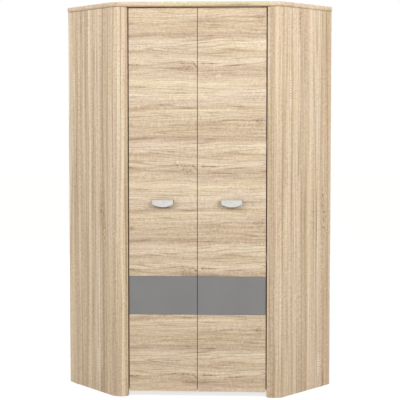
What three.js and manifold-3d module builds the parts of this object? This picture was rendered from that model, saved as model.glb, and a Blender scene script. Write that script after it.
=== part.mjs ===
// Corner wardrobe: two doors in a straight front between two rounded posts, and a right-angled rear
// corner that fills the corner of a room. Millimetres, +Z up, the doors face -Y.

import * as THREE from 'three';
import { mergeVertices } from 'three/addons/utils/BufferGeometryUtils.js';
import Module from 'manifold-3d';

const wasm = await Module();
wasm.setup();

// Overall sizes.
const overallHeight = 1980;
const wallLeg = 971; // back face along each wall, from the rear corner to a side panel's outer face
const sideDepth = 384; // side face, from the wall to the point where it would meet the front line
const postWidth = 67; // from the opening to the point where the side would meet the front line
const boardThickness = 16;
const fit = 0.3; // gap between a piece and what it is seated on
const overrun = 2; // how far a cutting tool runs past the face that it opens

// Top board.
const topThickness = 25;
const topOverhang = 5;
const topEdgeRadius = 9;

// Rounded front posts.
const postRadius = 72;
const postDepth = 48;
const postReturn = 46; // post's flat side face, from where it would meet the front line
const postCornerRadius = 3;

// Doors.
const doorThickness = 16;
const doorRecess = 16; // door face behind the foremost line of the posts
const doorSideGap = 5.2;
const doorCentreGap = 3;
const doorTopGap = 4;
const doorBottom = 27.5;
const bandBottom = 417;
const bandHeight = 195;
const bandThickness = 2.5;
const bandSetback = 1.2; // grey band's face below the door's face

// Shell handles.
const handleWidth = 108;
const handleHeight = 37;
const handleEndHeight = 21; // straight end of the outline, above the curved lower edge
const handleTop = 996;
const handleProjection = 20;
const handleWall = 2.5;
const handleEdgeRadius = 3;
const handleScrewSpacing = 96;
const handleBossRadius = 4;

// Cup hinges, each turning on one pin.
const hingeEndDistance = 100; // first and last hinge from the door's ends
const hingesPerDoor = 4;
const cupDiameter = 35;
const cupDepth = 11.5;
const cupWall = 1.2;
const cupEdgeDistance = 5; // wood left between the cup and the door's edge
const cupEarLength = 52;
const cupEarWidth = 15;
const cupEarOffset = 5.5;
const cupEarThickness = 1.2;
const pinRadius = 1.6;
const pinEdgeDistance = 14; // pin axis from the door's outer edge
const pinDepth = 6.6; // pin axis from the door's back face
const eyeWall = 1.4;
const armWidth = 14;
const armBodyLength = 50;
const armBodyThickness = 6;
const neckThickness = 2.4;
const neckReach = 12; // how far the neck passes inside the pin, round the door's edge
const neckRise = 24; // from the pin back to where the neck joins the arm's body
const plateThickness = 3;
const plateLength = 52;
const plateBodyWidth = 18;
const plateWingHeight = 46;
const plateWingWidth = 14;
const plateSetback = 37; // plate screws behind the door's back face

// Carcass boards inside.
const stileWidth = 80; // board behind each post that carries the hinges
const bottomTop = 48; // upper face of the bottom board
const bottomSetback = 2; // bottom board's front edge behind the doors
const swingRelief = 10; // extra setback where the doors' outer edges swing in
const swingReliefWidth = 36;
const hatSpaceHeight = 295; // from the hat shelf up to the top board
const shelfGap = 4; // hat shelf's front edge behind the hinge stiles
const plinthSetback = 150;
const rearStileWidth = 90;
const deckBackGap = 2; // bottom board and hat shelf stop this far short of the back panels

// Back panels.
const backThickness = 3;
const backRecess = 2; // back panels inside the plane of the walls
const backLip = 6; // what a side panel's rebate leaves beside the back panel
const joinerAlong = 520; // joiner strip from the rear corner
const joinerWeb = 1;
const joinerFlangeWidth = 14;
const joinerFlange = 0.8;

// Shelf supports.
const cleatHeight = 30;
const cleatThickness = 18;
const cleatWallDistance = 40;
const cleatFrontDistance = 14; // from the hat shelf's front edge, along the side panel
const blockLeg = 60;
const blockHeight = 25;

// Clothes rail.
const railLength = 860;
const railHeight = 30;
const railWidth = 15;
const railWall = 1.2;
const railDrop = 60; // rail's centre below the hat shelf
const railDepth = 330; // rail's centre behind the front line
const railBracketThickness = 8;
const railBracketWall = 3;
const railBracketInset = 20; // bracket from the rail's end
const railFlangeWidth = 60;
const railWebWidth = 14;

// Wall bracket.
const bracketWidth = 40;
const bracketLeg = 36;
const bracketThickness = 2;
const bracketAlong = 250; // from the rear corner along the right wall
const bracketHoleRadius = 2.75;

// Nail-on glides.
const glideRadius = 7;
const glideHeight = 3;
const glideWallDistance = 60;
const glidePostDistance = 40; // from the post's inner face

// Fineness of the rounded shapes.
const postArcSteps = 20;
const smallArcSteps = 3;
const topArcSteps = 10;
const topBevelSteps = 4;
const roundSides = 28;
const smallRoundSides = 12;
const neckSteps = 14;
const handleArcSteps = 16;
const handleBevelSteps = 3;

// Places that follow from the sizes, in plan: x to the right, y back from the posts' foremost line.
const diagonal = Math.SQRT2;
const rearCorner = (wallLeg + sideDepth) / diagonal;
const frontCorner = (wallLeg - sideDepth) / diagonal;
const halfOpening = frontCorner - postWidth;
const sideAngle = Math.PI / 4;
const postCentreX = frontCorner - postRadius * Math.tan(sideAngle / 2);
const planMiddle = (rearCorner - topOverhang) / 2;
const standHeight = glideHeight + fit;
const topUnderside = overallHeight - topThickness;
const boardTop = topUnderside - fit;
const shelfTop = topUnderside - hatSpaceHeight;
const shelfFront = postDepth + fit + stileWidth + shelfGap;
const doorBack = doorRecess + doorThickness;
const doorWidth = halfOpening - doorSideGap - doorCentreGap / 2;
const doorHeight = topUnderside - doorTopGap - doorBottom;
const doorEdge = halfOpening - doorSideGap;
const doorMiddle = doorEdge - doorWidth / 2;
const cupRadius = cupDiameter / 2;
const cupX = doorEdge - cupEdgeDistance - cupRadius;
const pinX = doorEdge - pinEdgeDistance;
const pinY = doorBack - pinDepth;
const backPlane = backRecess + backThickness + fit; // where boards begin in front of a back panel
const deckPlane = backRecess + backThickness + deckBackGap;
const sides = { left: -1, right: 1 };

// A point in plan from its distance along a wall from the rear corner and its distance off that wall.
function wallPoint(side, along, off) {
  return new THREE.Vector2(side * (along - off) / diagonal, rearCorner - (along + off) / diagonal);
}

function planPoint(side, x, y) {
  return new THREE.Vector2(side * x, y);
}

function arcPoints(x, y, radius, start, end, steps) {
  const points = [];
  for (let i = 0; i <= steps; i += 1) {
    const angle = start + (end - start) * i / steps;
    points.push(new THREE.Vector2(x + radius * Math.cos(angle), y + radius * Math.sin(angle)));
  }
  return points;
}

function mirrored(points, side) {
  return points.map((point) => planPoint(side, point.x, point.y));
}

// An outline drawn in plan and raised along +Z from height zero.
function prism(outline, height, holes = []) {
  const shape = new THREE.Shape(outline);
  holes.forEach((hole) => shape.holes.push(new THREE.Path(hole)));
  return new THREE.ExtrudeGeometry(shape, { depth: height, bevelEnabled: false });
}

// An outline of (y, z) points drawn out along +X.
function alongX(outline, length, holes = []) {
  const turn = (points) => points.map((point) => new THREE.Vector2(-point.y, point.x));
  return prism(turn(outline), length, holes.map(turn)).rotateY(Math.PI / 2);
}

function box(x0, x1, y0, y1, z0, z1) {
  const geometry = new THREE.BoxGeometry(Math.abs(x1 - x0), Math.abs(y1 - y0), Math.abs(z1 - z0));
  return geometry.translate((x0 + x1) / 2, (y0 + y1) / 2, (z0 + z1) / 2);
}

function cylinderY(x, z, radius, y0, y1, sideCount) {
  const geometry = new THREE.CylinderGeometry(radius, radius, Math.abs(y1 - y0), sideCount);
  return geometry.translate(x, (y0 + y1) / 2, z);
}

function cylinderZ(x, y, radius, z0, z1, sideCount) {
  const geometry = new THREE.CylinderGeometry(radius, radius, Math.abs(z1 - z0), sideCount);
  return geometry.rotateX(Math.PI / 2).translate(x, y, (z0 + z1) / 2);
}

// Booleans: a closed geometry becomes a solid, and a solid becomes a geometry again.
function solid(geometry) {
  const bare = geometry.clone();
  bare.deleteAttribute('normal');
  bare.deleteAttribute('uv');
  const merged = mergeVertices(bare);
  const mesh = new wasm.Mesh({
    numProp: 3,
    vertProperties: new Float32Array(merged.attributes.position.array),
    triVerts: new Uint32Array(merged.index.array),
  });
  return new wasm.Manifold(mesh);
}

function surface(manifold) {
  const mesh = manifold.getMesh();
  const geometry = new THREE.BufferGeometry();
  geometry.setAttribute('position', new THREE.BufferAttribute(new Float32Array(mesh.vertProperties), 3));
  geometry.setIndex(new THREE.BufferAttribute(new Uint32Array(mesh.triVerts), 1));
  geometry.computeVertexNormals();
  return geometry;
}

function joined(geometries) {
  return geometries.map(solid).reduce((whole, piece) => whole.add(piece));
}

// Finishes.
const finishes = {
  oak: { color: 0xd9c2a0, roughness: 0.6, metalness: 0 },
  grey: { color: 0x8a8987, roughness: 0.5, metalness: 0 },
  satin: { color: 0xdedcd8, roughness: 0.35, metalness: 0.7 },
  nickel: { color: 0xb9b6b0, roughness: 0.3, metalness: 1 },
  chrome: { color: 0xd5d7da, roughness: 0.12, metalness: 1 },
  fibreboard: { color: 0xc9b290, roughness: 0.75, metalness: 0 },
  plastic: { color: 0xe6e3dc, roughness: 0.5, metalness: 0 },
};

const wardrobe = new THREE.Group();
const body = new THREE.Group();
body.position.y = -planMiddle;
wardrobe.add(body);

function place(name, geometry, finish, height = 0) {
  const mesh = new THREE.Mesh(geometry, new THREE.MeshStandardMaterial(finishes[finish]));
  mesh.name = name;
  mesh.position.z = height;
  body.add(mesh);
}

// The top board overhangs the posts and side panels and is cut square along the two walls.
function topOutline(rearExtra) {
  const radius = postRadius + topOverhang;
  const corner = arcPoints(postCentreX, postRadius, radius, -Math.PI / 2, -sideAngle, topArcSteps);
  const right = [...corner, wallPoint(1, wallLeg + topOverhang, -rearExtra)];
  const left = mirrored(right, -1).reverse();
  return [...right, wallPoint(1, -rearExtra, -rearExtra), ...left];
}

function topBoard() {
  const shape = new THREE.Shape(topOutline(topEdgeRadius + overrun));
  const rounded = new THREE.ExtrudeGeometry(shape, {
    depth: topThickness - topEdgeRadius * 2,
    bevelThickness: topEdgeRadius,
    bevelSize: topEdgeRadius,
    bevelOffset: -topEdgeRadius,
    bevelSegments: topBevelSteps,
  }).translate(0, 0, topEdgeRadius);
  const trimmed = solid(rounded).intersect(solid(prism(topOutline(0), topThickness)));
  place('top_board', surface(trimmed), 'oak', topUnderside);
}

// One post: a bullnose front that runs into the side face at 45 degrees, and a flat back.
function frontPost(name, side) {
  const innerTurn = Math.asin((postCentreX - halfOpening - postCornerRadius) / (postRadius - postCornerRadius));
  const innerStart = -Math.PI / 2 - innerTurn;
  const front = arcPoints(postCentreX, postRadius, postRadius, innerStart, -sideAngle, postArcSteps);
  const roundX = halfOpening + postCornerRadius;
  const roundY = postRadius - (postRadius - postCornerRadius) * Math.cos(innerTurn);
  const corner = arcPoints(roundX, roundY, postCornerRadius, -Math.PI, innerStart, smallArcSteps);
  const sideEnd = wallPoint(1, wallLeg, sideDepth - postReturn);
  const backEnd = planPoint(1, sideEnd.x - (postDepth - sideEnd.y), postDepth);
  const outline = [...corner, ...front.slice(1), sideEnd, backEnd, planPoint(1, halfOpening, postDepth)];
  place(name, prism(mirrored(outline, side), boardTop - standHeight), 'oak', standHeight);
}

function wallRectangle(side, along0, along1, off0, off1) {
  return [
    wallPoint(side, along0, off0),
    wallPoint(side, along1, off0),
    wallPoint(side, along1, off1),
    wallPoint(side, along0, off1),
  ];
}

// A side panel reaches the wall and is rebated along its rear edge for the back panel.
function sidePanel(name, side) {
  const end = sideDepth - postReturn - fit;
  const outline = [
    [wallLeg - boardThickness, backPlane], [wallLeg - backLip, backPlane], [wallLeg - backLip, 0],
    [wallLeg, 0], [wallLeg, end], [wallLeg - boardThickness, end],
  ].map(([along, off]) => wallPoint(side, along, off));
  place(name, prism(outline, boardTop - standHeight), 'oak', standHeight);
}

// The board behind a post, square to the front, that carries the hinge plates.
function hingeStile(name, side) {
  const y0 = postDepth + fit;
  const x1 = halfOpening + boardThickness;
  const base = bottomTop + fit;
  place(name, box(side * halfOpening, side * x1, y0, y0 + stileWidth, base, boardTop), 'oak');
}

// Two narrow boards meet at a right angle in the rear corner. The left one butts against the right one.
function rearStiles() {
  const meeting = backPlane + boardThickness + fit;
  const right = wallRectangle(1, backPlane, rearStileWidth, backPlane, backPlane + boardThickness);
  const left = wallRectangle(-1, meeting, rearStileWidth, backPlane, backPlane + boardThickness);
  place('right_rear_stile', prism(right, boardTop - standHeight), 'oak', standHeight);
  place('left_rear_stile', prism(left, boardTop - standHeight), 'oak', standHeight);
}

// Where a level board that meets a side panel's inner face crosses a line across the wardrobe.
function sideInnerX(y) {
  return y + frontCorner - (boardThickness + fit) * diagonal;
}

// A level board's outline, from the front points of its right half, notched round the rear stiles.
function deckOutline(frontRight) {
  const notch = backPlane + boardThickness + fit;
  const right = [
    ...frontRight,
    wallPoint(1, wallLeg - boardThickness - fit, deckPlane),
    wallPoint(1, rearStileWidth + fit, deckPlane),
    wallPoint(1, rearStileWidth + fit, notch),
  ];
  const left = mirrored(right, -1).reverse();
  return [...right, wallPoint(1, notch, notch), ...left];
}

function bottomBoard() {
  const edge = doorBack + bottomSetback;
  const relief = edge + swingRelief;
  const inner = halfOpening - fit;
  const behindPost = postDepth + fit;
  const frontRight = [
    planPoint(1, halfOpening - swingReliefWidth, edge),
    planPoint(1, halfOpening - swingReliefWidth, relief),
    planPoint(1, inner, relief),
    planPoint(1, inner, behindPost),
    planPoint(1, sideInnerX(behindPost), behindPost),
  ];
  const geometry = prism(deckOutline(frontRight), boardThickness);
  place('bottom_board', geometry, 'oak', bottomTop - boardThickness);
}

function hatShelf() {
  const frontRight = [planPoint(1, sideInnerX(shelfFront), shelfFront)];
  const geometry = prism(deckOutline(frontRight), boardThickness);
  place('hat_shelf', geometry, 'oak', shelfTop - boardThickness);
}

function plinthBoard() {
  const back = plinthSetback + boardThickness;
  const right = [
    planPoint(1, sideInnerX(plinthSetback), plinthSetback),
    planPoint(1, sideInnerX(back), back),
  ];
  const outline = [...right, ...mirrored(right, -1).reverse()];
  const height = bottomTop - boardThickness - fit - standHeight;
  place('plinth_board', prism(outline, height), 'oak', standHeight);
}

// Each back is two fibreboard panels with an H-shaped joiner strip between them.
function backPanels(name, side) {
  const base = bottomTop - boardThickness;
  const height = boardTop - base;
  const off0 = backRecess;
  const off1 = backRecess + backThickness;
  const start = side === sides.right ? off1 + fit : off0;
  const webHalf = joinerWeb / 2 + fit;
  const rear = wallRectangle(side, start, joinerAlong - webHalf, off0, off1);
  const front = wallRectangle(side, joinerAlong + webHalf, wallLeg - backLip - fit, off0, off1);
  place(`${name}_rear_back_panel`, prism(rear, height), 'fibreboard', base);
  place(`${name}_front_back_panel`, prism(front, height), 'fibreboard', base);

  const web0 = joinerAlong - joinerWeb / 2;
  const web1 = joinerAlong + joinerWeb / 2;
  const flange0 = joinerAlong - joinerFlangeWidth / 2;
  const flange1 = joinerAlong + joinerFlangeWidth / 2;
  const outer = off0 - fit;
  const inner = off1 + fit;
  const section = [
    [flange0, outer - joinerFlange], [flange1, outer - joinerFlange], [flange1, outer], [web1, outer],
    [web1, inner], [flange1, inner], [flange1, inner + joinerFlange], [flange0, inner + joinerFlange],
    [flange0, inner], [web0, inner], [web0, outer], [flange0, outer],
  ].map(([along, off]) => wallPoint(side, along, off));
  place(`${name}_back_joiner`, prism(section, height), 'plastic', base);
}

function shelfCleat(name, side) {
  const inner = wallLeg - boardThickness - fit;
  const end = (rearCorner - shelfFront) * diagonal - inner - cleatFrontDistance;
  const outline = wallRectangle(side, inner - cleatThickness, inner, cleatWallDistance, end);
  const base = shelfTop - boardThickness - fit - cleatHeight;
  place(name, prism(outline, cleatHeight), 'oak', base);
}

function rearShelfBlock() {
  const corner = backPlane + boardThickness + fit * 2;
  const outline = [
    wallPoint(1, corner, corner),
    wallPoint(1, corner + blockLeg, corner),
    wallPoint(1, corner, corner + blockLeg),
  ];
  const base = shelfTop - boardThickness - fit - blockHeight;
  place('rear_shelf_block', prism(outline, blockHeight), 'oak', base);
}

// A long-round outline, upright, about a centre given in (y, z).
function oval(y, z, width, height) {
  const radius = width / 2;
  const straight = height / 2 - radius;
  const upper = arcPoints(y, z + straight, radius, 0, Math.PI, smallRoundSides / 2);
  const lower = arcPoints(y, z - straight, radius, Math.PI, Math.PI * 2, smallRoundSides / 2);
  return [...upper, ...lower];
}

function clothesRail() {
  const z = shelfTop - boardThickness - railDrop;
  const bore = oval(railDepth, z, railWidth - railWall * 2, railHeight - railWall * 2);
  const tube = alongX(oval(railDepth, z, railWidth, railHeight), railLength, [bore]);
  place('clothes_rail', tube.translate(-railLength / 2, 0, 0), 'chrome');
}

// A bracket hangs from the hat shelf and holds the rail in an eye.
function railBracket(name, side) {
  const ceiling = shelfTop - boardThickness - fit;
  const z = shelfTop - boardThickness - railDrop;
  const half = railBracketThickness / 2;
  const x = side * (railLength / 2 - railBracketInset);
  const eyeWidth = railWidth + (fit + railBracketWall) * 2;
  const eyeHeight = railHeight + (fit + railBracketWall) * 2;
  const eye = alongX(oval(railDepth, z, eyeWidth, eyeHeight), railBracketThickness);
  const hole = alongX(oval(railDepth, z, railWidth + fit * 2, railHeight + fit * 2), railBracketThickness * 2);
  const webHalf = railWebWidth / 2;
  const webBase = z + railHeight / 2 + fit;
  const web = box(x - half, x + half, railDepth - webHalf, railDepth + webHalf, webBase, ceiling);
  const flangeHalf = railFlangeWidth / 2;
  const flangeBase = ceiling - railBracketWall;
  const flangeX = railBracketThickness;
  const flange = box(
    x - flangeX, x + flangeX, railDepth - flangeHalf, railDepth + flangeHalf, flangeBase, ceiling,
  );
  const whole = joined([eye.translate(x - half, 0, 0), web, flange]);
  place(name, surface(whole.subtract(solid(hole.translate(x - railBracketThickness, 0, 0)))), 'plastic');
}

// An angle under the top board takes the screw that ties the wardrobe to the wall.
function wallBracket() {
  const half = bracketWidth / 2;
  const middle = wallPoint(1, bracketAlong, backPlane);
  const upright = box(-half, half, 0, bracketThickness, -bracketLeg, 0);
  const level = box(-half, half, 0, bracketLeg, -bracketThickness, 0);
  const wallHole = cylinderY(0, -bracketLeg / 2, bracketHoleRadius, -overrun, bracketLeg, smallRoundSides);
  const reach = bracketLeg * 2 / 3;
  const topHole = cylinderZ(0, reach, bracketHoleRadius, -bracketThickness - overrun, overrun, smallRoundSides);
  const angle = joined([upright, level]).subtract(solid(wallHole)).subtract(solid(topHole));
  const turned = surface(angle).rotateZ(Math.PI - sideAngle);
  place('wall_bracket', turned.translate(middle.x, middle.y, 0), 'nickel', boardTop);
}

function glide(name, point) {
  place(name, cylinderZ(point.x, point.y, glideRadius, 0, glideHeight, smallRoundSides), 'plastic');
}

function glides() {
  Object.entries(sides).forEach(([name, side]) => {
    glide(`${name}_post_glide`, planPoint(side, halfOpening + glidePostDistance, postDepth / 2));
    glide(`${name}_side_glide`, wallPoint(side, wallLeg - boardThickness / 2, glideWallDistance));
  });
  glide('rear_glide', wallPoint(1, rearStileWidth / 2, backPlane + boardThickness / 2));
}

function hingeHeights() {
  const first = doorBottom + hingeEndDistance;
  const span = doorHeight - hingeEndDistance * 2;
  const heights = [];
  for (let i = 0; i < hingesPerDoor; i += 1) {
    heights.push(first + span * i / (hingesPerDoor - 1));
  }
  return heights;
}

// A door: a board with a shallow groove for the grey band and a blind bore for each hinge cup.
function doorPanel(name, side) {
  const inner = side * (doorEdge - doorWidth);
  const outer = side * doorEdge;
  const door = box(inner, outer, doorRecess, doorBack, doorBottom, doorBottom + doorHeight);
  const grooveDepth = bandThickness + fit + bandSetback;
  const groove = box(
    inner - side * overrun, outer + side * overrun, doorRecess - overrun, doorRecess + grooveDepth,
    bandBottom - fit, bandBottom + bandHeight + fit,
  );
  const boreEnd = doorBack - cupDepth - fit;
  const cut = hingeHeights().reduce((left, z) => left.subtract(solid(
    cylinderY(side * cupX, z, cupRadius + fit, boreEnd, doorBack + overrun, roundSides),
  )), solid(door).subtract(solid(groove)));
  place(name, surface(cut), 'oak');
}

function greyBand(name, side) {
  const face = doorRecess + bandSetback;
  const inner = side * (doorEdge - doorWidth);
  const strip = box(inner, side * doorEdge, face, face + bandThickness, bandBottom, bandBottom + bandHeight);
  place(name, strip, 'grey');
}

// The handle's outline: a straight top, short upright ends and a shallow curved lower edge.
function handleOutline(inset, raise) {
  const sag = handleHeight - handleEndHeight;
  const radius = (handleWidth * handleWidth / 4 + sag * sag) / (sag * 2);
  const half = handleWidth / 2 - inset;
  const spread = Math.asin(half / (radius - inset));
  const centre = radius - handleHeight;
  const lower = arcPoints(0, centre, radius - inset, -Math.PI / 2 - spread, -Math.PI / 2 + spread, handleArcSteps);
  return [...lower, planPoint(1, half, raise), planPoint(-1, half, raise)];
}

// A half shell, open at the top for the fingers and at the back, with a boss for each screw.
function shellHandle(name, side) {
  const faceRun = handleProjection - handleEdgeRadius;
  const shape = new THREE.Shape(handleOutline(0, handleEdgeRadius + overrun));
  const outer = new THREE.ExtrudeGeometry(shape, {
    depth: faceRun,
    bevelThickness: handleEdgeRadius,
    bevelSize: handleEdgeRadius,
    bevelOffset: -handleEdgeRadius,
    bevelSegments: handleBevelSteps,
  }).rotateX(Math.PI / 2);
  const reach = handleWidth;
  const keep = box(-reach, reach, -handleProjection, -fit, -handleHeight, 0);
  const pocketShape = new THREE.Shape(handleOutline(handleWall, overrun));
  const pocketDepth = handleProjection - handleWall;
  const pocket = new THREE.ExtrudeGeometry(pocketShape, { depth: pocketDepth + overrun, bevelEnabled: false })
    .rotateX(Math.PI / 2).translate(0, overrun, 0);
  const shell = solid(outer).intersect(solid(keep)).subtract(solid(pocket));
  const bossEnd = handleWall / 2 - handleProjection;
  const bosses = [-1, 1].map((end) => solid(cylinderY(
    end * handleScrewSpacing / 2, -handleEndHeight / 2, handleBossRadius, -fit, bossEnd, smallRoundSides,
  )));
  const whole = bosses.reduce((left, boss) => left.add(boss), shell).intersect(solid(keep));
  const geometry = surface(whole).translate(side * doorMiddle, doorRecess, 0);
  place(name, geometry, 'satin', handleTop);
}

// The cup sits in the door, with two ears on its back face and the pin across its hollow.
function hingeCup(name, side, z) {
  const rim = doorBack + fit + cupEarThickness;
  const bottom = doorBack - cupDepth;
  const x = side * cupX;
  const earX = x - side * cupEarOffset;
  const shell = cylinderY(x, z, cupRadius, bottom, rim, roundSides);
  const ears = box(
    earX - cupEarWidth / 2, earX + cupEarWidth / 2, doorBack + fit, rim,
    z - cupEarLength / 2, z + cupEarLength / 2,
  );
  const hollowRadius = cupRadius - cupWall;
  const hollow = cylinderY(x, z, hollowRadius, bottom + cupWall, rim + overrun, roundSides);
  const chord = Math.sqrt(hollowRadius ** 2 - (pinX - cupX) ** 2);
  const pinHalf = chord + cupWall / 2;
  const pin = cylinderZ(side * pinX, pinY, pinRadius, z - pinHalf, z + pinHalf, smallRoundSides);
  const whole = joined([shell, ears]).subtract(solid(hollow)).add(solid(pin));
  place(name, surface(whole), 'nickel');
}

// The neck's centre line, from the pin back into the arm's body. Each row is a share of the neck's
// reach, inward from the pin, and a share of its rise, back from the pin.
const neckShares = [[0, 0], [0.46, 0.09], [0.88, 0.22], [1, 0.38], [0.93, 0.58], [0.64, 0.78], [0.05, 0.91]];

function ribbon(points, half) {
  const left = [];
  const right = [];
  points.forEach((point, i) => {
    const before = points[Math.max(i - 1, 0)];
    const after = points[Math.min(i + 1, points.length - 1)];
    const along = after.clone().sub(before).normalize();
    const across = new THREE.Vector2(-along.y, along.x).multiplyScalar(half);
    left.push(point.clone().add(across));
    right.push(point.clone().sub(across));
  });
  return [...left, ...right.reverse()];
}

// The arm: a body on the mounting plate and a swan neck that hooks round the door's edge to the pin.
function hingeArm(name, side, z) {
  const bodyX1 = halfOpening - fit - plateThickness - fit;
  const bodyX0 = bodyX1 - armBodyThickness;
  const bodyY = pinY + neckRise;
  const line = neckShares.map(([inward, back]) => planPoint(
    side, pinX - inward * neckReach, pinY + back * neckRise,
  ));
  line.push(planPoint(side, (bodyX0 + bodyX1) / 2, bodyY + neckThickness / 2));
  const curve = new THREE.SplineCurve(line).getPoints(neckSteps);
  const base = z - armWidth / 2;
  const neck = prism(ribbon(curve, neckThickness / 2), armWidth).translate(0, 0, base);
  const eye = cylinderZ(side * pinX, pinY, pinRadius + fit + eyeWall, base, base + armWidth, smallRoundSides);
  const arm = box(side * bodyX0, side * bodyX1, bodyY, bodyY + armBodyLength, base, base + armWidth);
  const hole = cylinderZ(
    side * pinX, pinY, pinRadius + fit, base - overrun, base + armWidth + overrun, smallRoundSides,
  );
  place(name, surface(joined([neck, eye, arm]).subtract(solid(hole))), 'nickel');
}

function hingePlate(name, side, z) {
  const x1 = side * (halfOpening - fit);
  const x0 = side * (halfOpening - fit - plateThickness);
  const screws = doorBack + plateSetback;
  const start = pinY + neckRise;
  const bodyHalf = plateBodyWidth / 2;
  const wingHalf = plateWingHeight / 2;
  const strip = box(x0, x1, start, start + plateLength, z - bodyHalf, z + bodyHalf);
  const wings = box(
    x0, x1, screws - plateWingWidth / 2, screws + plateWingWidth / 2, z - wingHalf, z + wingHalf,
  );
  place(name, surface(joined([strip, wings])), 'nickel');
}

topBoard();
bottomBoard();
plinthBoard();
hatShelf();
rearStiles();
rearShelfBlock();
clothesRail();
wallBracket();
glides();
Object.entries(sides).forEach(([name, side]) => {
  frontPost(`${name}_front_post`, side);
  sidePanel(`${name}_side_panel`, side);
  hingeStile(`${name}_hinge_stile`, side);
  backPanels(name, side);
  shelfCleat(`${name}_shelf_cleat`, side);
  railBracket(`${name}_rail_bracket`, side);
  doorPanel(`${name}_door_panel`, side);
  greyBand(`${name}_grey_band`, side);
  shellHandle(`${name}_handle`, side);
  hingeHeights().forEach((z, i) => {
    hingeCup(`${name}_hinge_cup_${i + 1}`, side, z);
    hingeArm(`${name}_hinge_arm_${i + 1}`, side, z);
    hingePlate(`${name}_hinge_plate_${i + 1}`, side, z);
  });
});

export default wardrobe;
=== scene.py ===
import math

import bmesh
import bpy
from mathutils import Matrix, Vector


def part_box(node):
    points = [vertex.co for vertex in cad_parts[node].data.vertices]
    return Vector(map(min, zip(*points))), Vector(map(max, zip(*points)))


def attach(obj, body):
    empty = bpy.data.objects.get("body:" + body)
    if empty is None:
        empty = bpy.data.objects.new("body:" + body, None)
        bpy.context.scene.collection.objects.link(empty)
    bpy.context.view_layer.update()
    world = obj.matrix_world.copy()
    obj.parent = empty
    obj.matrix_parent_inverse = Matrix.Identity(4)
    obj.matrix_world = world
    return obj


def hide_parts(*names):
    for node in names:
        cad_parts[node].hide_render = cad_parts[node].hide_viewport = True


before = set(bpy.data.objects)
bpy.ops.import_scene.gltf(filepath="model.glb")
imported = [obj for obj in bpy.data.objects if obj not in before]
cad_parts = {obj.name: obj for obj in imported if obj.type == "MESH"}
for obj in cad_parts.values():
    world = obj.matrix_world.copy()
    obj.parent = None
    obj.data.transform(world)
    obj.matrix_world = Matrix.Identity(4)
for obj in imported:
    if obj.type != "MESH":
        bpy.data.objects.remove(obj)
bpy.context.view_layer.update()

MM = 0.001
SIDES = {"left": -1, "right": 1}
HINGES = range(1, 5)
DIAGONAL = math.sqrt(0.5)  # both parts of a unit step along a wall

# Places read from the CAD parts.
DOOR_LOW, DOOR_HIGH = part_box("right_door_panel")
BAND_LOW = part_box("right_grey_band")[0]

# Edges and curves of the dressed pieces.
WELD = 0.001 * MM
FLAT = math.radians(0.6)
SHARP = math.radians(35)
BOARD_EDGE = 1.0 * MM
TOP_EDGE = 0.5 * MM
BAND_EDGE = 0.4 * MM
METAL_EDGE = 0.35 * MM
THIN_EDGE = 0.25 * MM

# The handle.
END_SHARE = 21 / 37  # its straight ends, as a share of its height
HANDLE_STEPS = 40
RIM = 2 * MM
RIM_STEPS = 6
DRAFT = 1.5 * MM  # its sides lean in by this much from back to front
HANDLE_WALL = 2.5 * MM
SCREW_SPACING = 96 * MM
BOSS = 4 * MM
BOSS_SIDES = 24

# Screws, nails and bumpers, with their places on the hinge's cup, plate and arm. A screw is given by its
# head's radius and height.
CUP_SCREW = (3.6 * MM, 1.6 * MM)
HANDLE_SCREW = (4.4 * MM, 2.4 * MM)
PLATE_SCREW = (3.4 * MM, 1.5 * MM)
EAR_OFFSET = 5.5 * MM
EAR_SCREW = 5.5 * MM
WING_SCREW = 6.5 * MM
PLATE_SETBACK = 37 * MM
ARM_FACE = 7.8 * MM
ARM_SCREWS = (10 * MM, 34 * MM)
NAIL_STEP = 150 * MM
SIDE_NAIL = 5 * MM  # from a back panel's edge to the nails into the side panel
CORNER_NAIL = 12 * MM  # and to those into the rear stiles
NAIL_HEAD = [(0, 0), (2.6 * MM, 0), (2.4 * MM, 0.4 * MM), (0, 0.6 * MM)]
NAIL_SIDES = 12
BUMPER = [(0, 0), (5 * MM, 0), (5 * MM, 0.9 * MM), (4.2 * MM, 1.4 * MM), (2.4 * MM, 1.7 * MM), (0, 1.8 * MM)]
BUMPER_INSET = 12.5 * MM
BUMPER_OFFSET = 30 * MM

# The oak print. Its grain runs along the first axis of each word.
DOOR_GRAIN = "XZY"
UPRIGHT_GRAIN = "ZXY"
LEVEL_GRAIN = "XYZ"
REPEAT = 512 * MM  # up the doors, the print comes again after this height
LOWER_PANEL_DROP = 28 * MM  # under the grey band it starts this much lower
FAR = 10.0  # metres, more than any size here

# The print's patterns, in millimetres along the grain and across it. Real specks are about half as large and
# real saw marks are 2 to 4 mm apart. Both are drawn coarser, so that they show.
SPECK = (13, 7)
SAW_MARK = (10, 24)
SAWN_AREA = (220, 60)
LINE_AREA = (1.6, 30)  # here and in the next two, the first number counts in fibre lengths
LINE_CONTOUR = (7, 62)
DASH = (0.9, 6)
FIBRE_WIDTH = 4
HUE_AREA = (600, 45)
KNOT_FRAY = (20, 10)
FRAY_REACH = (36 * MM, 30 * MM, 30 * MM)
RUNG_STEP = 13 * MM

# How much the patterns move the tone, and how brown or pale they are.
FIBRE_TONE = 0.85
SPECK_TONE = 0.55
SAW_TONE = 0.4
LINE_BROWN = 0.42
DASH_BROWN = 0.34
STREAK_BROWN = 0.85
MOST_BROWN = 0.85
RUNG_PALE = 0.7
CONTOURS = 11.0

OAK_TONES = [(0.1, "#b89e82"), (0.32, "#cdb599"), (0.5, "#dec9ae"), (0.7, "#ecd9bf"), (0.88, "#f6e8d1")]
OAK_BROWN = "#8f6f4f"
OAK_CREAM = "#f8ecd4"
BOARD_TINTS = ("#fffdfc", "#fffdf6")
DOOR_TINTS = ("#fefdff", "#fefdf7")
TOP_TINT = "#f9ffee"

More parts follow.
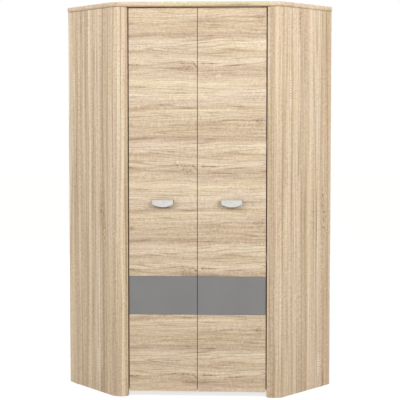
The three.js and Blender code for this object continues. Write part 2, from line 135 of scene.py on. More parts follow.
# Pale and dark bands of the print: millimetres up the doors or across the front, and tone. The doors' bands
# cover one repeat.
DOOR_BANDS = [
    (1398, 0.5), (1439, 0.5), (1452, 0.38), (1467, 0.57), (1526, 0.64), (1557, 0.55), (1593, 0.59),
    (1623, 0.45), (1662, 0.41), (1687, 0.64), (1715, 0.53), (1733, 0.41), (1751, 0.58), (1787, 0.59),
    (1808, 0.41), (1879, 0.38), (1910, 0.5),
]
SIDE_BANDS = [
    (-675, 0.62), (-656, 0.45), (-606, 0.4), (-572, 0.39), (-555, 0.59), (-531, 0.36), (-507, 0.63),
    (-487, 0.35), (-468, 0.4), (-453, 0.56), (-439, 0.38), (-427, 0.5), (-410, 0.28), (-392, 0.62),
    (-381, 0.43), (-371, 0.68), (-360, 0.36), (352, 0.38), (383, 0.3), (395, 0.55), (405, 0.33),
    (413, 0.55), (424, 0.29), (452, 0.59), (470, 0.37), (491, 0.55), (512, 0.41), (550, 0.38),
    (573, 0.63), (593, 0.4), (616, 0.65), (636, 0.37),
]

# Figures in the print: x, y, z, half length along the grain and half height across it, in millimetres.
DOOR_KNOTS = [(-54, 0, 1656, 28, 16), (318, 0, 1886, 16, 8), (310, 0, 1902, 24, 12)]
DOOR_STREAKS = [
    (-130, 0, 1751, 70, 4), (-318, 0, 1673, 40, 5), (62, 0, 1676, 50, 4), (-165, 0, 1464, 60, 5),
    (200, 0, 1460, 60, 4), (245, 0, 1884, 70, 4), (-60, 0, 1672, 60, 4), (190, 0, 1668, 70, 3.5),
    (-60, 0, 1821, 80, 3), (-275, 0, 1560, 50, 3.5), (68, 0, 1811, 40, 3.5), (-43, 0, 1452, 45, 4),
    (-23, 0, 1680, 10, 7), (-17, 0, 1674, 10, 7), (-11, 0, 1668, 10, 7), (-5, 0, 1662, 10, 7),
    (29, 0, 1677, 13, 8), (-90, 0, 1680, 60, 4),
]
SIDE_KNOTS = [
    (-486, -406, 994, 60, 13), (-486, -406, 915, 45, 15), (-474, -418, 835, 60, 13),
    (465, -427, 1540, 60, 7), (641, -251, 974, 55, 13), (650, -242, 890, 50, 17), (648, -244, 810, 50, 13),
]
SIDE_STREAKS = [
    (-607, -285, 1890, 120, 8), (-492, -400, 52, 100, 8), (512, -379, 1890, 130, 8),
    (-640, -252, 1150, 300, 5), (-541, -351, 1000, 240, 4), (590, -300, 900, 200, 4),
    (647, -245, 45, 60, 8),
]
SIDE_LADDERS = [
    (-510, -381, 166, 80, 12), (622, -270, 120, 80, 12), (465, -427, 1540, 120, 9),
    (-653, -238, 1576, 100, 9),
]
TOP_YELLOW = (100, -480, 1967, 290, 120)  # the yellower stretch of the top board's front edge

# Where a Mix node has its factor and its two colours among its inputs, and its colour among its outputs.
FACTOR = 0
FIRST = 6
SECOND = 7
MIXED = 2

# Floor, room and lamps. A lamp has its place, what it points at, its size in metres and its power in watts.
FLOOR_GREY = "#b2b0ac"
FLOOR_SIZE = 20.0
FLOOR_LIFT = 0.76
ROOM_LEVEL = 0.4
LAMPS = {
    "right_softbox": ((3.2, -3.0, 3.0), (0.0, -0.3, 1.5), 1.8, 111),
    "left_softbox": ((-3.2, -3.0, 3.3), (0.0, -0.3, 1.5), 1.8, 94),
    "top_softbox": ((0.0, -3.2, 3.8), (0.0, -0.2, 1.3), 1.6, 8),
    "rear_softbox": ((0.0, 4.0, 2.6), (0.0, 0.5, 1.0), 1.8, 70),
}

# The camera.
EYE = (0.1982, -5.3888, 1.4194)
LOOK_DOWN = 2.598  # degrees
LOOK_LEFT = 2.149
SENSOR = 36.0
LENS = 89.107
SHIFT = -0.1


def linear(code):
    """A colour written as sRGB hex, as linear RGBA."""
    parts = [int(code[i:i + 2], 16) / 255 for i in (1, 3, 5)]
    return [p / 12.92 if p <= 0.04045 else ((p + 0.055) / 1.055) ** 2.4 for p in parts] + [1.0]


def add(tree, kind, *values, named=None, stops=(), out=0, **settings):
    """Adds a shader node with its settings, its inputs in order or by name, and a ramp's stops. An input is
    a value, or the output that feeds it. Gives back one of the node's outputs."""
    node = tree.nodes.new("ShaderNode" + kind)
    for name, value in settings.items():
        setattr(node, name, value)
    for place, value in [*enumerate(values), *(named or {}).items()]:
        if isinstance(value, bpy.types.NodeSocket):
            tree.links.new(value, node.inputs[place])
        else:
            node.inputs[place].default_value = value
    for place, (position, colour) in enumerate(stops):
        marks = node.color_ramp.elements
        mark = marks[place] if place < len(marks) else marks.new(position)
        mark.position = position
        mark.color = linear(colour) if isinstance(colour, str) else (colour, colour, colour, 1.0)
    return node.outputs[out] if node.outputs else None


def blank(name):
    """A material with no nodes yet, and its tree."""
    made = bpy.data.materials.new(name)
    made.use_nodes = True
    made.node_tree.nodes.clear()
    return made, made.node_tree


def patches(tree, place, long, wide, detail=1.0, roughness=0.5, out="Fac"):
    """Soft uneven patches, this many millimetres along the place's first axis and across it."""
    shares = (1 / (long * MM), 1 / (wide * MM), 1 / (wide * MM))
    cells = add(tree, "VectorMath", place, shares, operation="MULTIPLY")
    settings = {"Scale": 1.0, "Detail": detail, "Roughness": roughness}
    return add(tree, "TexNoise", cells, out=out, named=settings)


def pushes(tree, place, long, wide, detail=1.0):
    """Such patches as a push in three directions, from -0.5 to 0.5."""
    colours = patches(tree, place, long, wide, detail, out="Color")
    return add(tree, "VectorMath", colours, (0.5, 0.5, 0.5), operation="SUBTRACT")


def along_grain(tree, grain):
    """Metres along the grain, then the two ways across it."""
    part = add(tree, "SeparateXYZ", add(tree, "TexCoord", out="Object")).node.outputs
    along, across, over = [part[axis] for axis in grain]
    if grain == DOOR_GRAIN:
        lower = add(tree, "Math", across, BAND_LOW.z, operation="LESS_THAN")
        across = add(tree, "Math", lower, LOWER_PANEL_DROP, across, operation="MULTIPLY_ADD")
    return add(tree, "CombineXYZ", along, across, over)


def repeating(tree, place, grain):
    """On the doors, the print bent round a circle, so that it meets itself after one repeat."""
    if grain != DOOR_GRAIN:
        return place
    part = add(tree, "SeparateXYZ", place).node.outputs
    turn = add(tree, "Math", part["Y"], math.tau / REPEAT, operation="MULTIPLY")
    radius = REPEAT / math.tau
    over = add(tree, "Math", add(tree, "Math", turn, operation="COSINE"), radius, operation="MULTIPLY")
    up = add(tree, "Math", add(tree, "Math", turn, operation="SINE"), radius, operation="MULTIPLY")
    return add(tree, "CombineXYZ", part["X"], over, up)


def from_figure(tree, place, grain, figure):
    """Where a place lies from a figure's middle, and how far out that is as a share of the figure's size."""
    x, y, z, length, height = figure
    middle = [{"X": x, "Y": y, "Z": z}[axis] * MM for axis in grain]
    on_door = grain == DOOR_GRAIN
    reach = (FAR, REPEAT / 2 if on_door else FAR, FAR)
    away = add(tree, "VectorMath", place, middle, operation="SUBTRACT")
    away = add(tree, "VectorMath", away, reach, [-part for part in reach], operation="WRAP")
    size = (length * MM, height * MM, FAR if on_door else height * MM)
    share = add(tree, "VectorMath", away, size, operation="DIVIDE")
    return away, add(tree, "VectorMath", share, operation="LENGTH", out="Value")


def wandering(tree, sheet, grain, waves):
    """The sheet with its grain in waves, each given by its length, width and reach in millimetres."""
    printed = repeating(tree, sheet, grain)
    wavy = sheet
    for long, wide, reach in waves:
        push = pushes(tree, printed, long, wide)
        wavy = add(tree, "VectorMath", push, (0.0, reach * MM, reach * MM), wavy, operation="MULTIPLY_ADD")
    return wavy


def round_knots(tree, sheet, wavy, grain, knots):
    """The grain as it opens round the knots, and the knots' frayed rings."""
    if not knots:
        return wavy, 0.0
    ragged = pushes(tree, sheet, *KNOT_FRAY, 2.0)
    rings = 0.0
    for knot in knots:
        frayed = add(tree, "VectorMath", ragged, FRAY_REACH, wavy, operation="MULTIPLY_ADD")
        away, share = from_figure(tree, frayed, grain, knot)
        pull = add(tree, "MapRange", share, 0.2, 2.4, -0.7, 0.0, interpolation_type="SMOOTHSTEP")
        pull = add(tree, "CombineXYZ", 0.0, pull, pull)
        wavy = add(tree, "VectorMath", away, pull, wavy, operation="MULTIPLY_ADD")
        ring = add(tree, "Math", share, 0.3, operation="PINGPONG")
        ring = add(tree, "MapRange", ring, 0.02, 0.22, 1.1, 0.0, interpolation_type="SMOOTHSTEP")
        edge = add(tree, "MapRange", share, 0.6, 1.6, 1.0, 0.0, interpolation_type="SMOOTHSTEP")
        ring = add(tree, "Math", ring, edge, operation="MULTIPLY")
        rings = add(tree, "Math", ring, rings, operation="MAXIMUM")
    return wavy, rings


def band_tone(tree, wavy, grain, bands):
    """The pale and dark bands, as a step up or down in tone. On the doors they come again."""
    start = bands[0][0]
    length = bands[-1][0] - start
    spot = add(tree, "Math", add(tree, "SeparateXYZ", wavy, out="Y"), start * MM, operation="SUBTRACT")
    spot = add(tree, "Math", spot, length * MM, operation="DIVIDE")
    if grain == DOOR_GRAIN:
        spot = add(tree, "Math", spot, operation="FRACT")
    band = add(tree, "ValToRGB", spot, stops=[((place - start) / length, tone) for place, tone in bands])
    return add(tree, "Math", band, 0.5, operation="SUBTRACT")


def saw_marks(tree, sheet):
    """Faint marks of the saw across the grain, stronger in some areas."""
    saw = add(tree, "Math", patches(tree, sheet, *SAW_MARK), 0.5, operation="SUBTRACT")
    sawn = add(tree, "MapRange", patches(tree, sheet, *SAWN_AREA), 0.42, 0.62, 0.1, 1.0)
    return add(tree, "Math", saw, sawn, operation="MULTIPLY")


def growth_lines(tree, sheet, flow, thread):
    """Contours of a slow pattern, so they run on, meet and close, with short dashes between them."""
    slow = patches(tree, flow, LINE_CONTOUR[0] * thread, LINE_CONTOUR[1], 0.6)
    line = add(tree, "Math", slow, CONTOURS, operation="MULTIPLY")
    line = add(tree, "Math", line, 0.5, operation="PINGPONG")
    line = add(tree, "MapRange", line, 0.0, 0.18, 1.0, 0.0, interpolation_type="SMOOTHSTEP")
    drawn = add(tree, "MapRange", patches(tree, sheet, LINE_AREA[0] * thread, LINE_AREA[1]), 0.4, 0.6)
    line = add(tree, "Math", line, drawn, operation="MULTIPLY")
    line = add(tree, "Math", line, LINE_BROWN, operation="MULTIPLY")
    dash = add(tree, "MapRange", patches(tree, flow, DASH[0] * thread, DASH[1]), 0.6, 0.72)
    return add(tree, "Math", dash, DASH_BROWN, line, operation="MULTIPLY_ADD")


def dark_streaks(tree, wavy, grain, streaks, brown):
    """Short dark streaks, added to what is brown already."""
    for streak in streaks:
        share = from_figure(tree, wavy, grain, streak)[1]
        worn = add(tree, "MapRange", share, 0.3, 1.2, 1.0, 0.0, interpolation_type="SMOOTHSTEP")
        brown = add(tree, "Math", worn, STREAK_BROWN, brown, operation="MULTIPLY_ADD")
    return brown


def saw_ladders(tree, sheet, grain, ladders):
    """Where the saw stuck, it left a ladder of pale rungs."""
    length = add(tree, "SeparateXYZ", sheet, out="X")
    rung = add(tree, "Math", length, RUNG_STEP, operation="DIVIDE")
    rung = add(tree, "Math", rung, 0.5, operation="PINGPONG")
    rung = add(tree, "MapRange", rung, 0.16, 0.36, RUNG_PALE, 0.0, interpolation_type="SMOOTHSTEP")
    near = 0.0
    for ladder in ladders:
        share = from_figure(tree, sheet, grain, ladder)[1]
        inside = add(tree, "MapRange", share, 0.6, 1.1, 1.0, 0.0, interpolation_type="SMOOTHSTEP")
        near = add(tree, "Math", inside, near, operation="MAXIMUM")
    return add(tree, "Math", rung, near, operation="MULTIPLY")


def print_tint(tree, sheet, flow, grain, tints, yellow):
    """Some stripes are a little pinker and some a little yellower, and one stretch may be yellower still."""
    hue = add(tree, "MapRange", patches(tree, flow, *HUE_AREA), 0.38, 0.62)
    mix = {FACTOR: hue, FIRST: linear(tints[0]), SECOND: linear(tints[1])}
    tint = add(tree, "Mix", named=mix, data_type="RGBA", out=MIXED)
    if yellow:
        share = from_figure(tree, sheet, grain, yellow)[1]
        near = add(tree, "MapRange", share, 0.8, 1.1, 1.0, 0.0, interpolation_type="SMOOTHSTEP")
        mix = {FACTOR: near, FIRST: tint, SECOND: linear(TOP_TINT)}
        tint = add(tree, "Mix", named=mix, data_type="RGBA", out=MIXED)
    return tint


def oak_melamine(
    name, grain, waves, thread, stripes, contrast, base=0.5, tints=BOARD_TINTS, bands=(), knots=(),
    streaks=(), ladders=(), yellow=None,
):
    """Pale sawn oak, printed on a melamine paper that is pressed onto particleboard with a fine matt grain.
    The eye gets cream and tan stripes, thin brown growth lines, a few knots, and faint marks of the saw
    across the grain. The waves push the grain aside, the thread is the fibres' length in millimetres, and
    the stripes' tone varies round the base by the contrast."""
    made, tree = blank(name)
    sheet = along_grain(tree, grain)
    wavy = wandering(tree, sheet, grain, waves)
    wavy, rings = round_knots(tree, sheet, wavy, grain, knots)
    flow = repeating(tree, wavy, grain)

    # Stripes and bands give the tone, then fibres, specks where the saw crossed them, and its marks.
    stripe = patches(tree, flow, *stripes)
    fibre = patches(tree, flow, thread, FIBRE_WIDTH, 3.0, 0.7)
    speck = patches(tree, sheet, *SPECK, 1.0, 0.8)
    saw = saw_marks(tree, sheet)
    tone = add(tree, "Math", stripe, contrast, base - contrast / 2, operation="MULTIPLY_ADD")
    if bands:
        tone = add(tree, "Math", tone, band_tone(tree, wavy, grain, bands), operation="ADD")
    for pattern, weight in ((fibre, FIBRE_TONE), (speck, SPECK_TONE)):
        uneven = add(tree, "Math", pattern, 0.5, operation="SUBTRACT")
        tone = add(tree, "Math", uneven, weight, tone, operation="MULTIPLY_ADD")
    tone = add(tree, "Math", saw, SAW_TONE, tone, operation="MULTIPLY_ADD")
    colour = add(tree, "ValToRGB", tone, stops=OAK_TONES)
    mix = {FACTOR: 1.0, FIRST: colour, SECOND: print_tint(tree, sheet, flow, grain, tints, yellow)}
    colour = add(tree, "Mix", named=mix, data_type="RGBA", blend_type="MULTIPLY", out=MIXED)

    # Dark marks. Knots and streaks are broken up by the specks.
    broken = add(tree, "MapRange", speck, 0.42, 0.6, 0.15, 1.0)
    marks = dark_streaks(tree, wavy, grain, streaks, rings)
    dark = growth_lines(tree, sheet, flow, thread)
    dark = add(tree, "Math", marks, broken, dark, operation="MULTIPLY_ADD")
    dark = add(tree, "Math", dark, MOST_BROWN, operation="MINIMUM")
    mix = {FACTOR: dark, FIRST: colour, SECOND: linear(OAK_BROWN)}
    colour = add(tree, "Mix", named=mix, data_type="RGBA", out=MIXED)
    if ladders:
        rungs = saw_ladders(tree, sheet, grain, ladders)
        mix = {FACTOR: rungs, FIRST: colour, SECOND: linear(OAK_CREAM)}
        colour = add(tree, "Mix", named=mix, data_type="RGBA", out=MIXED)

    relief = add(tree, "Math", saw, 0.8, fibre, operation="MULTIPLY_ADD")
    relief = add(tree, "Math", dark, -1.0, relief, operation="MULTIPLY_ADD")
    bump = add(tree, "Bump", named={"Strength": 0.35, "Distance": 0.2 * MM, "Height": relief})
    rough = add(tree, "Math", stripe, 0.25, 0.55, operation="MULTIPLY_ADD")
    varied = {"Base Color": colour, "Roughness": rough, "Normal": bump, "IOR": 1.5}
    add(tree, "OutputMaterial", add(tree, "BsdfPrincipled", named=varied))
    return made


def grey_laminate():
    """Plain mid-grey melamine, pressed with a fine pearl texture, satin to the eye. The real pearl is about
    half a millimetre, and it is drawn coarser, so that it shows."""
    made, tree = blank("grey_melamine")
    place = add(tree, "TexCoord", out="Object")
    pearl = patches(tree, place, 2.5, 2.5, 2.0)
    cloud = patches(tree, place, 160, 160, 2.0)
    tone = add(tree, "Math", add(tree, "Math", pearl, cloud, operation="ADD"), 0.5, operation="MULTIPLY")
    colour = add(tree, "ValToRGB", tone, stops=[(0.3, "#828180"), (0.7, "#8a8988")])
    bump = add(tree, "Bump", named={"Strength": 0.12, "Distance": 0.1 * MM, "Height": pearl})
    varied = {"Base Color": colour, "Roughness": 0.42, "Normal": bump, "IOR": 1.5}
    add(tree, "OutputMaterial", add(tree, "BsdfPrincipled", named=varied))
    return made


def die_cast_zinc():
    """Die-cast zinc with a satin nickel finish: bright and nearly neutral, with soft reflections. The sides
    are painted darker, as painted shade for the shadow and dark reflections round the handle's outline. The
    brushed grit is about 0.1 mm, and it is drawn coarser, so that it shows."""
    made, tree = blank("satin_zinc")
    texture = add(tree, "TexCoord").node.outputs
    place = texture["Object"]
    grit = patches(tree, place, 1.1, 1.1, 2.0)
    cloud = patches(tree, place, 16, 16, 2.0)
    colour = add(tree, "ValToRGB", cloud, stops=[(0.35, "#cecdc9"), (0.65, "#d7d6d2")])
    # Painted shade: faces that turn sideways, away from the front, are mixed towards a dark grey, for the
    # shadow and dark reflections round the handle's outline.
    front = add(tree, "Math", add(tree, "SeparateXYZ", texture["Normal"], out="Y"), operation="ABSOLUTE")
    side = add(tree, "MapRange", front, 0.25, 0.75, 1.0, 0.0)
    mix = {FACTOR: side, FIRST: colour, SECOND: linear("#7b7772")}
    colour = add(tree, "Mix", named=mix, data_type="RGBA", out=MIXED)
    rough = add(tree, "Math", grit, 0.14, 0.33, operation="MULTIPLY_ADD")
    bump = add(tree, "Bump", named={"Strength": 0.1, "Distance": 0.05 * MM, "Height": grit})
    varied = {"Base Color": colour, "Metallic": 1.0, "Roughness": rough, "Normal": bump}
    add(tree, "OutputMaterial", add(tree, "BsdfPrincipled", named=varied))
    return made


def plated_steel(name, low, high, rough, scratch):
    """Pressed steel with a plated finish: hard and bright, with faint scratches of the given length in
    millimetres, drawn wider than real ones, so that they show."""
    made, tree = blank(name)
    place = add(tree, "TexCoord", out="Object")
    worn = patches(tree, place, scratch, scratch / 8, 2.0)
    colour = add(tree, "ValToRGB", worn, stops=[(0.35, low), (0.65, high)])
    dull = add(tree, "Math", worn, 0.1, rough - 0.05, operation="MULTIPLY_ADD")
    varied = {"Base Color": colour, "Metallic": 1.0, "Roughness": dull}
    add(tree, "OutputMaterial", add(tree, "BsdfPrincipled", named=varied))
    return made


def moulded_plastic():
    """Moulded white polypropylene: slightly cloudy, with a soft even gloss and a fine spark-eroded surface.
    Its real grit is about 0.2 mm, and it is drawn coarser, so that it shows."""
    made, tree = blank("white_polypropylene")
    place = add(tree, "TexCoord", out="Object")
    cloud = patches(tree, place, 11, 11, 3.0)
    grit = patches(tree, place, 0.7, 0.7)
    colour = add(tree, "ValToRGB", cloud, stops=[(0.35, "#e4e1da"), (0.65, "#ece9e3")])
    bump = add(tree, "Bump", named={"Strength": 0.15, "Distance": 0.05 * MM, "Height": grit})
    varied = {"Base Color": colour, "Roughness": 0.4, "Normal": bump, "IOR": 1.49}
    add(tree, "OutputMaterial", add(tree, "BsdfPrincipled", named=varied))
    return made


def hard_fibreboard():
    """Hard fibreboard for backs: bare brown pressed fibre outside, with a pale printed face inside."""
    made, tree = blank("hard_fibreboard")
    texture = add(tree, "TexCoord").node.outputs
    place = texture["Object"]
    fleck = patches(tree, place, 3.8, 3.8, 4.0, 0.7)
    cloud = add(tree, "Math", patches(tree, place, 240, 240, 3.0), 0.25, operation="MULTIPLY")
    tone = add(tree, "Math", fleck, 0.75, cloud, operation="MULTIPLY_ADD")
    bare = add(tree, "ValToRGB", tone, stops=[(0.35, "#95724f"), (0.5, "#a37f5a"), (0.65, "#b08d68")])
    face = add(tree, "ValToRGB", tone, stops=[(0.3, "#ddcdb2"), (0.7, "#e6d9c2")])
    # The faces that point away from the room's corner are the inner ones.
    outward = add(tree, "SeparateXYZ", texture["Normal"], out="Y")
    inner = add(tree, "Math", outward, -0.3, operation="LESS_THAN")
    mix = {FACTOR: inner, FIRST: bare, SECOND: face}
    colour = add(tree, "Mix", named=mix, data_type="RGBA", out=MIXED)
    bump = add(tree, "Bump", named={"Strength": 0.3, "Distance": 0.2 * MM, "Height": fleck})
    rough = add(tree, "Math", fleck, 0.2, 0.55, operation="MULTIPLY_ADD")
    varied = {"Base Color": colour, "Roughness": rough, "Normal": bump, "IOR": 1.5}
    add(tree, "OutputMaterial", add(tree, "BsdfPrincipled", named=varied))
    return made


def soft_bumper():
    """Clear soft polyurethane, as on stick-on door bumpers."""
    made, tree = blank("soft_polyurethane")
    place = add(tree, "TexCoord", out="Object")
    cloud = patches(tree, place, 3.3, 3.3, 2.0)
    colour = add(tree, "ValToRGB", cloud, stops=[(0.3, "#e6e4dc"), (0.7, "#f2f0ea")])
    rough = add(tree, "Math", cloud, 0.2, 0.15, operation="MULTIPLY_ADD")
    varied = {"Base Color": colour, "Roughness": rough, "IOR": 1.48, "Transmission Weight": 0.6}
    add(tree, "OutputMaterial", add(tree, "BsdfPrincipled", named=varied))
    return made


oak_door = oak_melamine(
    "oak_melamine_across", DOOR_GRAIN, waves=[(300, 70, 26), (120, 30, 9)], thread=160,
    stripes=(1400, 46, 3.0, 0.95), contrast=1.0, tints=DOOR_TINTS, bands=DOOR_BANDS, knots=DOOR_KNOTS,
    streaks=DOOR_STREAKS,
)
oak_upright = oak_melamine(
    "oak_melamine_upright", UPRIGHT_GRAIN, waves=[(900, 120, 8)], thread=700,
    stripes=(4000, 24, 3.0, 1.0), contrast=1.35, bands=SIDE_BANDS, knots=SIDE_KNOTS, streaks=SIDE_STREAKS,
    ladders=SIDE_LADDERS,
)
oak_level = oak_melamine(
    "oak_melamine_level", LEVEL_GRAIN, waves=[(700, 110, 30)], thread=400,
    stripes=(4000, 50, 3.0, 0.95), contrast=0.8, base=0.52, yellow=TOP_YELLOW,
)
grey_melamine = grey_laminate()
satin_zinc = die_cast_zinc()
nickel_steel = plated_steel("nickel_plated_steel", "#c4c0b8", "#d3cfc8", rough=0.28, scratch=16)
zinc_steel = plated_steel("zinc_plated_steel", "#b9bcc0", "#cfd1d3", rough=0.35, scratch=8)
chrome_tube = plated_steel("chrome_plated_tube", "#dcdfe2", "#eceef0", rough=0.1, scratch=40)
white_plastic = moulded_plastic()
fibreboard = hard_fibreboard()
polyurethane = soft_bumper()


def finished(name, bm, material, body, stands_for=()):
    """Turns the bmesh into a piece that rides on its body."""
    bmesh.ops.recalc_face_normals(bm, faces=bm.faces)
    mesh = bpy.data.meshes.new(name)
    bm.to_mesh(mesh)
    bm.free()
    mesh.materials.append(material)
    mesh.polygons.foreach_set("use_smooth", [True] * len(mesh.polygons))
    mesh.set_sharp_from_angle(angle=SHARP)
    piece = bpy.data.objects.new(name, mesh)
    bpy.context.scene.collection.objects.link(piece)
    even = piece.modifiers.new("even_shading", "WEIGHTED_NORMAL")
    even.keep_sharp = True
    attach(piece, body)
    if stands_for:
        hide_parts(*stands_for)


def dressed(node, material, body, edge):
    """A CAD solid with whole faces, eased edges and smooth curves, which stands for its node."""
    bm = bmesh.new()
    bm.from_mesh(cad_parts[node].data)
    bmesh.ops.remove_doubles(bm, verts=bm.verts, dist=WELD)
    bmesh.ops.dissolve_limit(bm, angle_limit=FLAT, verts=bm.verts, edges=bm.edges)
    eased = [e for e in bm.edges if e.is_manifold and e.is_convex and e.calc_face_angle() > SHARP]
    bmesh.ops.bevel(
        bm, geom=eased, offset=edge, offset_type="OFFSET", segments=2, profile=0.5,
        clamp_overlap=True, affect="EDGES",
    )
    finished(node + "_dressed", bm, material, body, [node])


def facing(point, direction):
    """A place whose own Z points along the direction."""
    return Matrix.Translation(point) @ Vector(direction).to_track_quat("Z", "Y").to_matrix().to_4x4()


def turned(bm, place, profile, sides=20):
    """Adds a turned form, from (radius, height) pairs along the place's Z."""
    rings = []
    for radius, height in profile:
        count = sides if radius else 1
        angles = [math.tau * i / sides for i in range(count)]
        spots = [Vector((radius * math.cos(a), radius * math.sin(a), height)) for a in angles]
        rings.append([bm.verts.new(place @ spot) for spot in spots])
    for low, high in zip(rings, rings[1:]):
        for i in range(sides):
            along = i % len(low), (i + 1) % len(low)
            back = (i + 1) % len(high), i % len(high)
            corners = [low[j] for j in along] + [high[j] for j in back]
            bm.faces.new(list(dict.fromkeys(corners)))


def screws(name, places, size, body):
    """Pan heads with a cone for the driver. Each place is the head's seat and the way that it faces."""
    radius, rise = size
    profile = [
        (0, 0), (radius, 0), (radius, rise * 0.35), (radius * 0.86, rise * 0.8), (radius * 0.6, rise),
        (radius * 0.38, rise), (0, rise * 0.45),
    ]
    bm = bmesh.new()
    for point, direction in places:
        turned(bm, facing(point, direction), profile)
    finished(name, bm, zinc_steel, body)


def shell_handle(side):
    """The handle: a flat face with an eased rim along its ends and its curved lower edge, hollow behind and
    open at the top for the fingers."""
    low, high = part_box(f"{side}_handle")
    middle = (low.x + high.x) / 2
    width = high.x - low.x
    height = high.z - low.z
    depth = high.y - low.y
    end_height = height * END_SHARE
    sag = height - end_height
    radius = (width * width / 4 + sag * sag) / (2 * sag)

    def outline(inset):
        half = width / 2 - inset
        reach = radius - inset
        spread = math.asin(half / reach)
        turns = [-spread + 2 * spread * i / HANDLE_STEPS for i in range(HANDLE_STEPS + 1)]
        curve = [(reach * math.sin(turn), radius - height - reach * math.cos(turn)) for turn in turns]
        return [(-half, 0.0)] + curve + [(half, 0.0)]

    bm = bmesh.new()

    def ring(inset, y):
        return [bm.verts.new((middle + x, y, high.z + z)) for x, z in outline(inset)]

    quarter = [math.pi / 2 * i / RIM_STEPS for i in range(RIM_STEPS + 1)]
    outer = [ring(0.0, high.y)]
    outer += [ring(DRAFT + RIM * (1 - math.cos(a)), low.y + RIM * (1 - math.sin(a))) for a in quarter]
    lean = HANDLE_WALL + DRAFT
    inner = [ring(HANDLE_WALL, high.y), ring(lean, low.y + HANDLE_WALL + RIM / 2)]
    inner += [ring(lean + RIM / 2, low.y + HANDLE_WALL)]
    for rings in (outer, inner):
        for back, front in zip(rings, rings[1:]):
            for i in range(len(back) - 1):
                bm.faces.new((back[i], back[i + 1], front[i + 1], front[i]))
        bm.faces.new(rings[-1])
    for i in range(len(outer[0]) - 1):
        bm.faces.new((outer[0][i], outer[0][i + 1], inner[0][i + 1], inner[0][i]))
    outer_edge = [r[0] for r in outer] + [r[-1] for r in reversed(outer)]
    inner_edge = [r[-1] for r in inner] + [r[0] for r in reversed(inner)]
    bm.faces.new(outer_edge + inner_edge)

    top = depth - HANDLE_WALL / 2
    boss = [(0, 0), (BOSS, 0), (BOSS, top), (0, top)]
    for end in (-1, 1):
        seat = (middle + end * SCREW_SPACING / 2, high.y, high.z - end_height / 2)
        turned(bm, facing(seat, (0, -1, 0)), boss, BOSS_SIDES)
    name = f"{side}_shell_handle"
    finished(name, bm, satin_zinc, f"{side}_door", [f"{side}_handle"])


def paint(nodes, material):
    """Gives CAD nodes that stay their finish."""
    for node in nodes:
        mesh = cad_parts[node].data
        mesh.materials.clear()
        mesh.materials.append(material)


def dress_carcass():
    dressed("top_board", oak_level, "carcass", TOP_EDGE)
    for name in ("bottom_board", "hat_shelf", "plinth_board"):
        dressed(name, oak_level, "carcass", BOARD_EDGE)
    for side in SIDES:
        for name in ("front_post", "side_panel", "hinge_stile", "rear_stile"):
            dressed(f"{side}_{name}", oak_upright, "carcass", BOARD_EDGE)
        dressed(f"{side}_shelf_cleat", oak_level, "carcass", BOARD_EDGE)
        dressed(f"{side}_rail_bracket", white_plastic, "carcass", METAL_EDGE)
        paint([f"{side}_{part}_back_panel" for part in ("front", "rear")], fibreboard)
        paint([f"{side}_back_joiner", f"{side}_post_glide", f"{side}_side_glide"], white_plastic)
        for i in HINGES:
            for part in ("arm", "plate"):
                dressed(f"{side}_hinge_{part}_{i}", nickel_steel, "carcass", METAL_EDGE)
    dressed("rear_shelf_block", oak_level, "carcass", BOARD_EDGE)
    dressed("clothes_rail", chrome_tube, "carcass", THIN_EDGE)
    dressed("wall_bracket", nickel_steel, "carcass", METAL_EDGE)
    paint(["rear_glide"], white_plastic)


def dress_doors():
    for side in SIDES:
        body = f"{side}_door"
        dressed(f"{side}_door_panel", oak_door, body, BOARD_EDGE)
        dressed(f"{side}_grey_band", grey_melamine, body, BAND_EDGE)
        shell_handle(side)
        for i in HINGES:
            dressed(f"{side}_hinge_cup_{i}", nickel_steel, body, THIN_EDGE)


def fit_cup_screws(side, sign):
    """Two screws through each hinge cup's ears into the back of the door."""
    places = []
    for i in HINGES:
        low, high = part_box(f"{side}_hinge_cup_{i}")
        x = sign * (abs(low.x + high.x) / 2 - EAR_OFFSET)
        for end in (low.z + EAR_SCREW, high.z - EAR_SCREW):
            places.append((Vector((x, high.y, end)), (0, 1, 0)))
    screws(f"{side}_cup_screws", places, CUP_SCREW, f"{side}_door")


def fit_handle_screws(side):
    """Two screws from the back of the door into the handle."""
    low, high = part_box(f"{side}_handle")
    height = high.z - (high.z - low.z) * END_SHARE / 2
    middle = (low.x + high.x) / 2
    seats = [Vector((middle + end * SCREW_SPACING / 2, DOOR_HIGH.y, height)) for end in (-1, 1)]
    screws(f"{side}_handle_screws", [(seat, (0, 1, 0)) for seat in seats], HANDLE_SCREW, f"{side}_door")


def fit_plate_screws(side, sign):
    """Two screws through each mounting plate's wings, and two that hold and set the arm on it."""
    places = []
    for i in HINGES:
        low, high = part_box(f"{side}_hinge_plate_{i}")
        face = low.x if sign > 0 else high.x
        for end in (low.z + WING_SCREW, high.z - WING_SCREW):
            places.append((Vector((face, DOOR_HIGH.y + PLATE_SETBACK, end)), (-sign, 0, 0)))
        arm_face = (low.x + high.x) / 2 - sign * ARM_FACE
        low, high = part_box(f"{side}_hinge_arm_{i}")
        for back in ARM_SCREWS:
            places.append((Vector((arm_face, high.y - back, (low.z + high.z) / 2)), (-sign, 0, 0)))
    screws(f"{side}_plate_screws", places, PLATE_SCREW, "carcass")


def fit_screws():
    for side, sign in SIDES.items():
        fit_cup_screws(side, sign)
        fit_handle_screws(side)
        fit_plate_screws(side, sign)


def fit_bumpers():
    """Two soft dots on each door's back, near the gap between the doors."""
    for side, sign in SIDES.items():
        bm = bmesh.new()
        for height in (DOOR_LOW.z + BUMPER_INSET, DOOR_HIGH.z - BUMPER_INSET):
            turned(bm, facing((sign * BUMPER_OFFSET, DOOR_HIGH.y, height), (0, 1, 0)), BUMPER)
        finished(f"{side}_door_bumpers", bm, polyurethane, f"{side}_door")


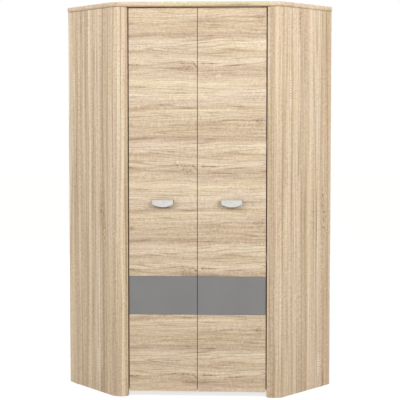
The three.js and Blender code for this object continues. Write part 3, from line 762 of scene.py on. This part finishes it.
def fit_back_nails():
    """Flat nail heads that hold the back panels to the side panels, the rear stiles, the bottom board and
    the hat shelf."""
    boards = [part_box(name) for name in ("bottom_board", "hat_shelf")]
    levels = [(low.z + high.z) / 2 for low, high in boards]
    for side, sign in SIDES.items():
        outward = Vector((sign * DIAGONAL, DIAGONAL, 0))
        along = Vector((sign * DIAGONAL, -DIAGONAL, 0))
        bm = bmesh.new()
        for part in ("front", "rear"):
            low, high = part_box(f"{side}_{part}_back_panel")
            ends = sorted((abs(low.x), abs(high.x)))
            near = Vector((sign * ends[0], high.y, 0))
            span = (ends[1] - ends[0]) / DIAGONAL
            upright = span - SIDE_NAIL if part == "front" else CORNER_NAIL
            start = low.z + CORNER_NAIL
            rise = high.z - CORNER_NAIL - start
            count = round(rise / NAIL_STEP)
            spots = [(upright, start + rise * i / count) for i in range(count + 1)]
            count = max(2, round(span / NAIL_STEP))
            spots += [(span * i / count, level) for level in levels for i in range(1, count)]
            for run, height in spots:
                place = facing(near + along * run + Vector((0, 0, height)), outward)
                turned(bm, place, NAIL_HEAD, NAIL_SIDES)
        finished(f"{side}_back_nails", bm, zinc_steel, "carcass")


def seen(tree):
    """1 where the camera sees a surface itself, in a reflection or through glass."""
    path = add(tree, "LightPath").node.outputs
    either = add(tree, "Math", path["Is Camera Ray"], path["Is Glossy Ray"], operation="MAXIMUM")
    return add(tree, "Math", either, path["Is Transmission Ray"], operation="MAXIMUM")


def stage_floor():
    """A plain pale floor. To the camera it is white where nothing shades it, and it keeps the shadow."""
    bm = bmesh.new()
    bmesh.ops.create_grid(bm, x_segments=8, y_segments=8, size=FLOOR_SIZE)
    mesh = bpy.data.meshes.new("floor")
    bm.to_mesh(mesh)
    bm.free()
    floor = bpy.data.objects.new("floor", mesh)
    bpy.context.scene.collection.objects.link(floor)
    made, tree = blank("pale_floor")
    lift = add(tree, "Math", seen(tree), FLOOR_LIFT, operation="MULTIPLY")
    white = linear("#ffffff")
    glow = {"Emission Color": white, "Emission Strength": lift}
    varied = {"Base Color": linear(FLOOR_GREY), "Roughness": 0.9, **glow}
    add(tree, "OutputMaterial", add(tree, "BsdfPrincipled", named=varied))
    mesh.materials.append(made)


def white_room():
    """Even pale light from all round, and a white background."""
    world = bpy.data.worlds.new("studio")
    bpy.context.scene.world = world
    world.use_nodes = True
    tree = world.node_tree
    tree.nodes.clear()
    level = add(tree, "Math", seen(tree), 1.0 - ROOM_LEVEL, ROOM_LEVEL, operation="MULTIPLY_ADD")
    add(tree, "OutputWorld", add(tree, "Background", linear("#ffffff"), level))


def light_studio():
    """A large soft lamp on each side in front, the right one a little stronger, a faint one above, and one
    behind for the back."""
    for name, (place, target, size, power) in LAMPS.items():
        light = bpy.data.lights.new(name, "AREA")
        light.shape = "SQUARE"
        light.size = size
        light.energy = power
        made = bpy.data.objects.new(name, light)
        bpy.context.scene.collection.objects.link(made)
        made.location = place
        made.rotation_euler = (Vector(target) - Vector(place)).to_track_quat("-Z", "Y").to_euler()


def place_camera():
    """The photograph's viewing angle, just under eye level and a little to the right of the middle."""
    data = bpy.data.cameras.new("camera")
    data.sensor_width = SENSOR
    data.lens = LENS
    data.shift_y = SHIFT
    camera = bpy.data.objects.new("camera", data)
    bpy.context.scene.collection.objects.link(camera)
    camera.location = EYE
    camera.rotation_euler = (math.radians(90 - LOOK_DOWN), 0.0, math.radians(LOOK_LEFT))
    bpy.context.scene.camera = camera


dress_carcass()
dress_doors()
fit_screws()
fit_bumpers()
fit_back_nails()
stage_floor()
white_room()
light_studio()
place_camera()
bpy.context.scene.view_settings.view_transform = "Standard"
